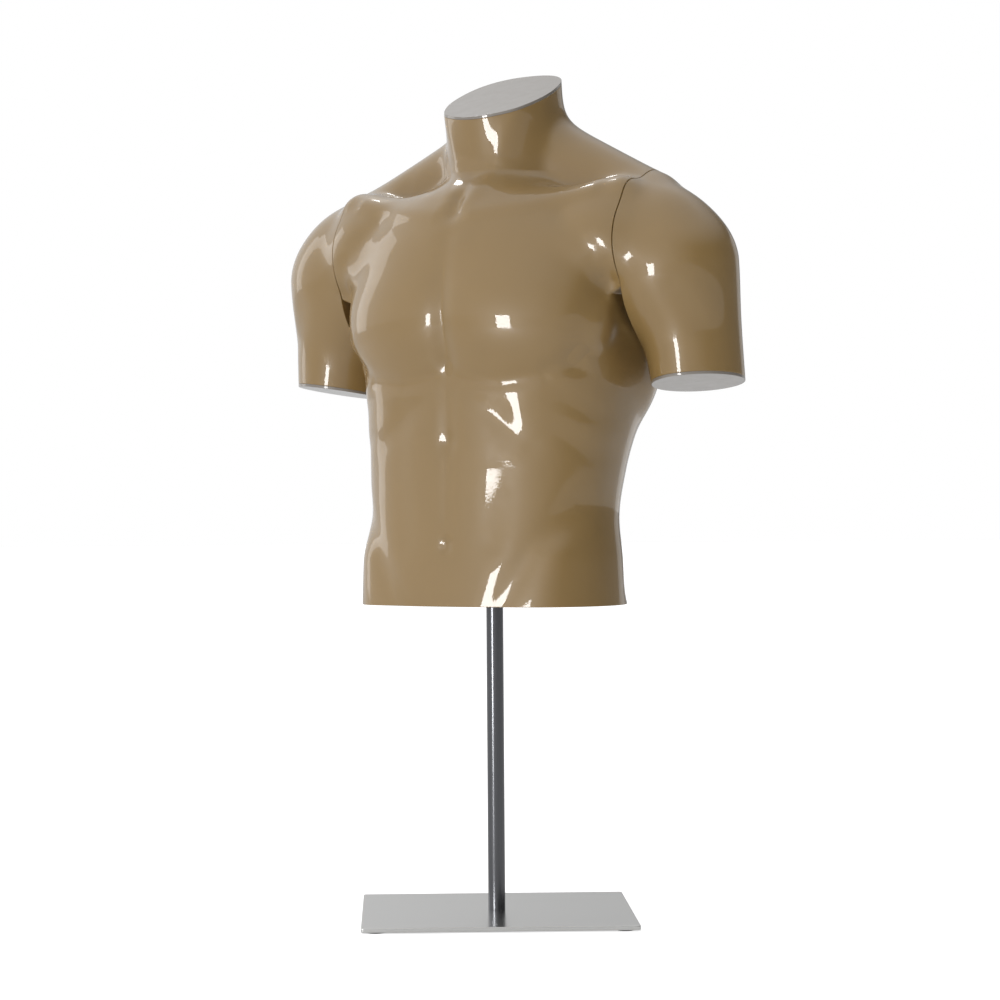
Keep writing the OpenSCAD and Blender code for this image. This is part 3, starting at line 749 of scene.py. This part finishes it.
def make_torso():
    outer = net_of(rough_torso, torso_figure, *TORSO_BOX, NET_STEP, mirror=True)
    inner = net_of(torso_inside, torso_inside, *TORSO_BOX, INNER_STEP, mirror=True)
    cuts = [HIP_CUT, under(NECK_CUT, LID_T), *SEAM_CUTS]
    skin = shell(outer, inner, torso_figure, torso_inside, cuts, SHELL_EDGE)
    show(skin.mesh("torso_skin"), "torso_skin", "torso", "lacquer", "torso_shell")
    cap = lid(outer, torso_figure, NECK_CUT, LID_EDGE)
    show(cap.mesh("neck_cap"), "neck_cap", "torso", "lid_lacquer", "neck_lid")


def make_arms():
    outer = net_of(plain_figure, figure, *ARM_BOX, NET_STEP)
    inner = net_of(arm_inside, arm_inside, *ARM_BOX, ARM_INNER_STEP)
    end = under(ARM_CUT, LID_T)
    skin = shell(outer, inner, figure, arm_inside, [ARM_SEAM, end], SHELL_EDGE)
    cap = lid(outer, figure, ARM_CUT, LID_EDGE)
    for side, mirror in (("left", False), ("right", True)):
        body = f"{side}_arm"
        show(skin.mesh(f"{side}_arm_skin", mirror), f"{side}_arm_skin", body, "lacquer", f"{side}_arm_shell")
        show(cap.mesh(f"{side}_arm_cap", mirror), f"{side}_arm_cap", body, "lid_lacquer", f"{side}_arm_lid")


make_torso()
make_arms()


# ------------------------------------------------------------------ the stand's pieces
# Lengths here are metres
PLATE_CORNER = 0.003
PLATE_EDGE = 0.0008
SCREW_HOLE = 0.00525
SCREW_COUNTERSINK = 0.0102
POLE_WALL = 0.0015
POLE_EDGE = 0.0004
POLE_SIDES = 128
SHARP = math.radians(30)


def round_ring(bm, radius, z, angles):
    return [bm.verts.new((radius * math.cos(a), radius * math.sin(a), z)) for a in angles]


def square_ring(bm, half, corner, z, steps=12):
    """A rounded square, turned like the base plate, with nearly as many points on a side as on a corner."""
    ring = []
    straight = half - corner
    for quarter in range(4):
        turn = Matrix.Rotation(math.radians(90 * quarter) + PLATE_TURN, 3, "Z")
        arc = [math.radians(90 * k / (steps - 1)) for k in range(steps)]
        points = [(straight + corner * math.cos(a), straight + corner * math.sin(a)) for a in arc]
        points += [(straight - 2 * straight * k / steps, half) for k in range(1, steps)]
        ring += [bm.verts.new(turn @ Vector((x, y, z))) for x, y in points]
    return ring


def upright(low, high, reach, radius, steps=4):
    """Heights and reaches of an upright side with rounded edges."""
    angles = [math.pi / 2 * i / steps for i in range(steps + 1)]
    edge = [(radius * (1 - math.sin(a)), reach - radius * (1 - math.cos(a))) for a in angles]
    drops = [(2 * radius, reach)] + edge
    return [(low + drop, x) for drop, x in drops[::-1]] + [(high - drop, x) for drop, x in drops]


def ring_mesh(bm, rings, name):
    """Joins rings of the same length into a closed band that is smooth over all but its sharp edges."""
    for low, high in zip(rings, rings[1:] + rings[:1]):
        for i in range(len(low)):
            k = (i + 1) % len(low)
            bm.faces.new([low[i], low[k], high[k], high[i]]).smooth = True
    bm.normal_update()
    for edge in bm.edges:
        edge.smooth = edge.calc_face_angle() < SHARP
    made = bpy.data.meshes.new(name)
    bm.to_mesh(made)
    return made


def make_pole():
    low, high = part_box("pole")
    bm = bmesh.new()
    angles = [2 * math.pi * i / POLE_SIDES for i in range(POLE_SIDES)]
    side = upright(low.z, high.z, high.x, POLE_EDGE)
    profile = [(low.z, high.x - POLE_WALL), *side, (high.z, high.x - POLE_WALL)]
    rings = [round_ring(bm, reach, z, angles) for z, reach in profile]
    show(ring_mesh(bm, rings, "pole_tube"), "pole_tube", "stand", "pole_chrome", "pole")


def make_plate():
    low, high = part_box("base_plate")
    spread = math.cos(PLATE_TURN) + math.sin(PLATE_TURN)
    half = (high.x - PLATE_CORNER) / spread + PLATE_CORNER
    inset = half - 2 * PLATE_EDGE
    profile = [(low.z, inset), *upright(low.z, high.z, half, PLATE_EDGE), (high.z, inset)]
    bm = bmesh.new()
    side = [square_ring(bm, reach, PLATE_CORNER - half + reach, z) for z, reach in profile]
    angles = [math.atan2(v.co.y, v.co.x) for v in side[0]]
    underside = round_ring(bm, SCREW_COUNTERSINK, low.z, angles)
    rings = [underside, *side, round_ring(bm, SCREW_HOLE, high.z, angles)]
    show(ring_mesh(bm, rings, "steel_plate"), "steel_plate", "stand", "plate_steel", "base_plate")


make_pole()
make_plate()


# ------------------------------------------------------------------ stage, camera and light
def look_matrix(eye, right, up):
    back = right.cross(up)
    rows = [[right[i], up[i], back[i], eye[i]] for i in range(3)]
    return Matrix([*rows, [0, 0, 0, 1]])


CAMERA_AZIMUTH = math.radians(33.3)
CAMERA_REACH = 3.585
CAMERA_HEIGHT = 0.463
CAMERA_ROLL = math.radians(-0.4)
LENS = 115.7
SHIFT = 0.006
TOWARDS = Vector((math.sin(CAMERA_AZIMUTH), -math.cos(CAMERA_AZIMUTH), 0))
LEVEL = Vector((math.cos(CAMERA_AZIMUTH), math.sin(CAMERA_AZIMUTH), 0))
UP = Vector((0, 0, 1))
FLOOR_REACH = 30.0
FLOOR_SIDES = 64
FLOOR_GLOW = 0.7
# The studio's brightness at the camera's left, at its right and overhead
LEFT_LIGHT = 0.78
RIGHT_LIGHT = 0.1
TOP_LIGHT = 0.85
# The point that the soft boxes face
LIT_POINT = Vector((0, 0, 0.65))
# Soft boxes: azimuth to the camera's right and elevation in degrees, distance, width, height, watts
SOFT_BOXES = {
    "key": (-37, -8, 3.0, 0.52, 0.85, 25),
    "wall": (-120, 14, 3.6, 1.0, 2.2, 8),
    "hair": (-157, 56, 2.6, 0.25, 0.6, 6),
    "rim": (140, 4, 3.2, 1.2, 1.8, 3),
}


def make_camera():
    data = bpy.data.cameras.new("camera")
    data.lens = LENS
    data.sensor_width = 36
    data.shift_x = SHIFT
    camera = bpy.data.objects.new("camera", data)
    right = LEVEL * math.cos(CAMERA_ROLL) + UP * math.sin(CAMERA_ROLL)
    up = UP * math.cos(CAMERA_ROLL) - LEVEL * math.sin(CAMERA_ROLL)
    camera.matrix_world = look_matrix(TOWARDS * CAMERA_REACH + UP * CAMERA_HEIGHT, right, up)
    bpy.context.scene.collection.objects.link(camera)
    bpy.context.scene.camera = camera


def make_floor():
    """A pale round floor that glows for the camera only, so that it meets the white behind it unseen."""
    bm = bmesh.new()
    angles = [2 * math.pi * i / FLOOR_SIDES for i in range(FLOOR_SIDES)]
    bm.faces.new(round_ring(bm, FLOOR_REACH, 0, angles))
    mesh = bpy.data.meshes.new("floor")
    bm.to_mesh(mesh)
    made, tree, shader = new_material("pale_floor")
    set_inputs(shader, Roughness=0.75, Specular_IOR_Level=0.1, Emission_Color=(1.0, 1.0, 1.0))
    glow = tree.nodes.new("ShaderNodeMath")
    glow.operation = "MULTIPLY"
    glow.inputs[1].default_value = FLOOR_GLOW
    tree.links.new(tree.nodes.new("ShaderNodeLightPath").outputs["Is Camera Ray"], glow.inputs[0])
    tree.links.new(glow.outputs["Value"], shader.inputs["Emission Strength"])
    tree.links.new(ramp(tree, noise(tree, 3.0), 0.82, 0.85), shader.inputs["Base Color"])
    mesh.materials.append(made)
    floor = bpy.data.objects.new("floor", mesh)
    bpy.context.scene.collection.objects.link(floor)


def soft_box(name, azimuth, elevation, reach, width, height, power):
    """A rectangular light that faces the object from a direction relative to the camera's."""
    turn = CAMERA_AZIMUTH + math.radians(azimuth)
    lift = math.radians(elevation)
    way = Vector((math.sin(turn) * math.cos(lift), -math.cos(turn) * math.cos(lift), math.sin(lift)))
    data = bpy.data.lights.new(name, "AREA")
    data.shape = "RECTANGLE"
    data.size, data.size_y, data.energy = width, height, power
    lamp = bpy.data.objects.new(name, data)
    lamp.location = LIT_POINT + way * reach
    lamp.rotation_mode = "QUATERNION"
    lamp.rotation_quaternion = (-way).to_track_quat("-Z", "Y")
    bpy.context.scene.collection.objects.link(lamp)


def make_studio():
    """Light that is bright to the camera's left and overhead and dark to its right, behind plain white."""
    world = bpy.data.worlds.new("studio")
    bpy.context.scene.world = world
    world.use_nodes = True
    tree = world.node_tree
    shade = tree.nodes["Background"]
    place = tree.nodes.new("ShaderNodeTexCoord")
    side = tree.nodes.new("ShaderNodeVectorMath")
    side.operation = "DOT_PRODUCT"
    side.inputs[1].default_value = LEVEL
    tree.links.new(place.outputs["Generated"], side.inputs[0])
    share = tree.nodes.new("ShaderNodeMapRange")
    share.inputs["From Min"].default_value = -1
    tree.links.new(side.outputs["Value"], share.inputs["Value"])
    sideways = ramp(tree, share.outputs["Result"], LEFT_LIGHT, RIGHT_LIGHT, 0.36, 0.74)
    height = tree.nodes.new("ShaderNodeSeparateXYZ")
    tree.links.new(place.outputs["Generated"], height.inputs[0])
    above = ramp(tree, height.outputs["Z"], 0.0, 1.0, 0.45, 0.8)
    mix = tree.nodes.new("ShaderNodeMix")
    mix.data_type = "RGBA"
    mix.inputs["B"].default_value = (TOP_LIGHT, TOP_LIGHT, TOP_LIGHT, 1)
    tree.links.new(above, mix.inputs["Factor"])
    tree.links.new(sideways, mix.inputs["A"])
    ray = tree.nodes.new("ShaderNodeLightPath")
    seen = tree.nodes.new("ShaderNodeMix")
    seen.data_type = "RGBA"
    seen.inputs["B"].default_value = (1, 1, 1, 1)
    tree.links.new(ray.outputs["Is Camera Ray"], seen.inputs["Factor"])
    tree.links.new(mix.outputs["Result"], seen.inputs["A"])
    tree.links.new(seen.outputs["Result"], shade.inputs["Color"])
    for name, place_and_size in SOFT_BOXES.items():
        soft_box(name, *place_and_size)
    bpy.context.scene.view_settings.view_transform = "Standard"


make_camera()
make_floor()
make_studio()
